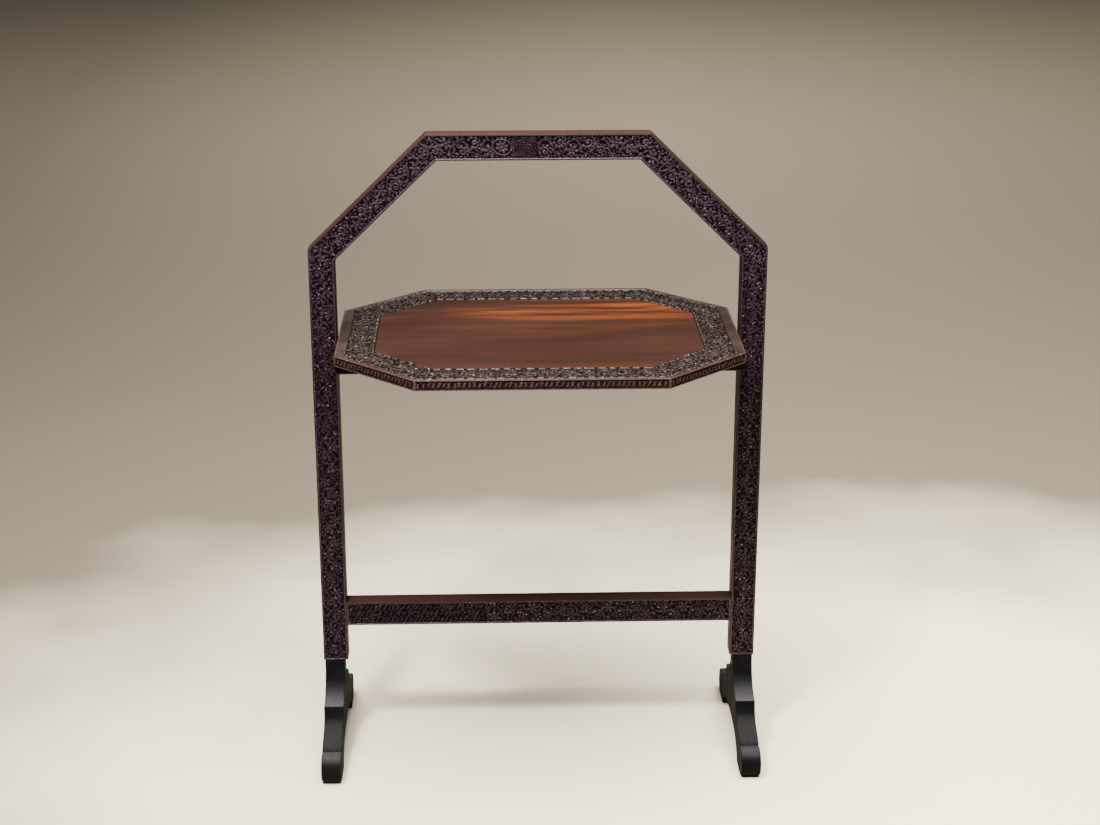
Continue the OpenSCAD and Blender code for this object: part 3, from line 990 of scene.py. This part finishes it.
def border_heights(insets, loops):
    """How high the border's carving stands at each point, from 0 to 1."""
    value = border_relief().sample(loops[..., 0], loops[..., 1])
    end_margin = np.abs(loops[..., 0]) - (BOARD[1][0] - TRAY_END_MARGIN)
    margin = np.maximum(TRAY_MARGIN - insets[:, None], end_margin)
    value = np.where(margin > 0, smooth((margin - 0.3) / 0.9), value)
    return np.where(TRAY_BORDER - insets[:, None] < 0.4, 0.3, value)


def make_border():
    """The carved border's upper side, on a ring of its own."""
    width = TRAY_BORDER - TRAY_RIM
    insets = np.linspace(TRAY_BORDER, TRAY_RIM, spread(width, BORDER_ROW) + 1)
    upper = octagon_loop(insets, BORDER_STEP)
    lower = octagon_loop([TRAY_RIM, TRAY_RIM + width / 2, TRAY_BORDER], BORDER_STEP)
    value = border_heights(insets, upper)
    top = TRAY_TOP - TRAY_GROUND * (1 - value)
    heights = np.vstack([top, np.full(lower.shape[:2], TRAY_TOP - CARVING_DEPTH)])
    values = np.vstack([value, np.zeros(lower.shape[:2])])
    return ring("tray_border", np.vstack([upper, lower]), heights, TRAY_CARVED, values)


def edge_relief(length, height):
    """Upright ribs along the tray's edge, with small beads between them."""
    relief = Relief((0, 0), (length, height), 0.3)
    pitch = length / round(length / 5.6)
    flat = Band([((0, 0), (0, height)), ((length, 0), (length, height))])
    for k in range(round(length / pitch)):
        at = (k + 0.5) * pitch + RNG.normal(0, 0.3)
        lean = RNG.normal(0.7, 0.5)
        rise = RNG.uniform(2.6, 4.4)
        bead(relief, flat, at, RNG.normal(0, 0.5), RNG.uniform(1.3, 1.75), 1.0, lean, rise)
        for side in (-1, 1):
            place = at + pitch / 2 + RNG.normal(0, 0.3)
            across = side * RNG.uniform(0.18, 0.34) * height
            bead(relief, flat, place, across, RNG.uniform(0.8, 1.2), RNG.uniform(0.6, 0.95))
    hand_cut(relief, 1.8, 0.3)
    return relief


def edge_section(levels):
    """The edge's section, from the rim's top down to the underside, as (inset, height) pairs.
    The carved rows are at the levels."""
    r = EDGE_ROUND
    section = [(TRAY_RIM, TRAY_TOP - 0.15), (TRAY_RIM - 0.4, TRAY_TOP), (r, TRAY_TOP)]
    for angle in np.radians([30, 60]):
        section.append((r - r * math.sin(angle), TRAY_TOP - r + r * math.cos(angle)))
    first = len(section)
    section += [(EDGE_GROUND, level) for level in levels]
    section += [(0.3, TRAY_BOTTOM + 0.3), (r, TRAY_BOTTOM), (TRAY_RIM, TRAY_BOTTOM)]
    return section, first


def edge_carving(outline, levels):
    """How high the edge's carving stands, for each level and point of the outline."""
    step = np.linalg.norm(np.roll(outline, -1, 0) - outline, axis=1)
    along = np.concatenate([[0], np.cumsum(step)[:-1]])
    base = TRAY_BOTTOM + EDGE_ROUND
    relief = edge_relief(step.sum(), TRAY_TOP - TRAY_BOTTOM - 2 * EDGE_ROUND)
    carved = relief.sample(*np.meshgrid(along, levels - base))
    carved[[0, -1]] = 1.0
    corner_gap = np.linalg.norm(outline[:, None] - octagon(0), axis=2).min(1)
    return np.where(corner_gap < 1.4, 1.0, carved)


def make_edge():
    """The tray's outer edge, with its carved band and the plain rim above it."""
    outline, inside = octagon_loop([0.0, 1.0], EDGE_STEP)
    inward = inside - outline
    count = spread(TRAY_TOP - TRAY_BOTTOM - 2 * EDGE_ROUND, EDGE_ROW) + 1
    levels = np.linspace(TRAY_TOP - EDGE_ROUND, TRAY_BOTTOM + EDGE_ROUND, count)
    section, first = edge_section(levels)
    values = np.full((len(section), len(outline)), RIM_TONE)
    values[first:first + count] = edge_carving(outline, levels)
    insets = np.broadcast_to(np.array(section)[:, :1], values.shape).copy()
    insets[first:first + count] *= 1 - values[first:first + count]
    flat = outline + inward * insets[..., None]
    heights = np.broadcast_to(np.array(section)[:, 1:], values.shape)
    return ring("tray_edge", flat, heights, EDGE_CARVED, values)


def make_core():
    """The board under the border, with the polished field standing in the middle."""
    low = TRAY_TOP - CARVING_DEPTH
    layers = [(TRAY_RIM, TRAY_BOTTOM), (TRAY_RIM, low), (TRAY_BORDER, low),
              (TRAY_BORDER, TRAY_TOP - FIELD_DROP)]
    points = np.vstack([np.column_stack([octagon(inset), np.full(8, z)]) for inset, z in layers])
    faces = grid_faces(4, 8, False, True).tolist()
    faces += [list(range(8))[::-1], list(range(24, 32))]
    slots = [0] * 24 + [0, 1]
    core = make_mesh("tray_field", points, faces, [TRAY_PLAIN, TRAY_FIELD], slots)
    core.data.polygons.foreach_set("use_smooth", np.zeros(len(core.data.polygons), bool))
    return core


def make_tray():
    """The border, the edge and the core stand in for the board."""
    for piece in (make_border(), make_edge(), make_core()):
        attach(piece, "tray")
        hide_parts("tray_board")


make_tray()

# ---- CAD nodes that stay

# The material of each pair of nodes, without left_ and right_
KEPT = {
    "bearer": BEARER_WOOD, "bearer_screws": STEEL, "pivot_pin": BRASS, "washer": BRASS,
    "haunch_tongue": JOINERY, "crown_tongue": JOINERY, "stretcher_peg": JOINERY,
    "foot_peg": JOINERY,
}


def soften(thing):
    """Worn edges on a CAD node."""
    worn = thing.modifiers.new("worn", "BEVEL")
    worn.width = 0.8 * MM
    worn.segments = 3
    worn.limit_method = "ANGLE"


def finish_kept():
    """Materials for the CAD nodes, and worn edges for the bearers."""
    for part, material in KEPT.items():
        for side in ("left_", "right_"):
            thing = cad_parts[side + part]
            thing.data.materials.clear()
            thing.data.materials.append(material)
            if part == "bearer":
                soften(thing)


finish_kept()

# ---- floor, light, camera


def floor_material():
    """Pale near the object, a warm grey far away, and darker to the left: painted shade, as light
    falls off across the floor.
    """
    material, tree, shader, spot = new_material("floor")
    oval = add(tree, "Mapping", {"Vector": spot, "Scale": (0.6, 1.0, 1.0),
                                 "Location": (-0.16, 0.0, 0.0)}).outputs["Vector"]
    far = add(tree, "VectorMath", {0: oval}, operation="LENGTH").outputs["Value"]
    cloud = noise(tree, spot, 1.6, 3.0)
    far = maths(tree, "ADD", far, grey(tree, cloud, -0.12, 0.12, 0.3, 0.7))
    body = ramp(tree, grey(tree, far, 0.0, 1.0, 0.36, 0.86),
                [(0.0, (0.88, 0.77, 0.57)), (1.0, (0.156, 0.128, 0.088))])
    # painted shade towards the left
    side = grey(tree, part_of(tree, spot, "X"), 0.55, 1.12, -1.5, 0.5)
    tree.links.new(mix(tree, 1.0, body, side, "MULTIPLY"), shader.inputs["Base Color"])
    shader.inputs["Roughness"].default_value = 0.7
    return material


def make_floor():
    """A plain floor."""
    half = 9.0
    mesh = bpy.data.meshes.new("floor")
    mesh.from_pydata([(-half, -half, 0), (half, -half, 0), (half, half, 0), (-half, half, 0)],
                     [], [(0, 1, 2, 3)])
    mesh.materials.append(floor_material())
    floor = put_in_scene("floor", mesh)


def make_light(name, place, target, size, power, colour):
    """A round soft lamp that points at the target."""
    lamp = bpy.data.lights.new(name, "AREA")
    lamp.shape = "DISK"
    lamp.size = size
    lamp.energy = power
    lamp.color = colour
    thing = put_in_scene(name, lamp)
    thing.location = place
    thing.rotation_euler = (Vector(target) - Vector(place)).to_track_quat("-Z", "Y").to_euler()


def make_world():
    """A dim studio: warm at the horizon, darker above."""
    world = bpy.data.worlds.new("studio")
    bpy.context.scene.world = world
    world.use_nodes = True
    tree = world.node_tree
    up = part_of(tree, add(tree, "TexCoord").outputs["Generated"], "Z")
    body = ramp(tree, up, [(0.0, (0.30, 0.26, 0.20)), (0.18, (0.07, 0.066, 0.06))])
    tree.links.new(body, tree.nodes["Background"].inputs["Color"])


def make_camera():
    """The photograph's view: a little above the tray, looking slightly down."""
    lens = bpy.data.cameras.new("camera")
    lens.sensor_width = 36.0
    lens.lens = 65.74
    downwards, to_the_right = math.radians(18.95), math.radians(1.74)
    thing = put_in_scene("camera", lens)
    thing.location = (-0.055, -2.257, 1.203)
    thing.rotation_euler = (math.pi / 2 - downwards, 0, -to_the_right)
    bpy.context.scene.camera = thing


make_floor()
make_world()
make_light("key", place=(-0.55, -1.05, 2.05), target=(0, 0, 0.6), size=0.26, power=72,
           colour=(1.0, 0.98, 0.96))
make_light("sky", place=(0.0, -0.6, 3.4), target=(0, 0, 0), size=3.6, power=580,
           colour=(1.0, 0.98, 0.95))
make_light("rear", place=(0.0, 4.0, 3.0), target=(0, 7.5, 0), size=3.0, power=260,
           colour=(1.0, 0.97, 0.92))
make_camera()

bpy.context.view_layer.update()
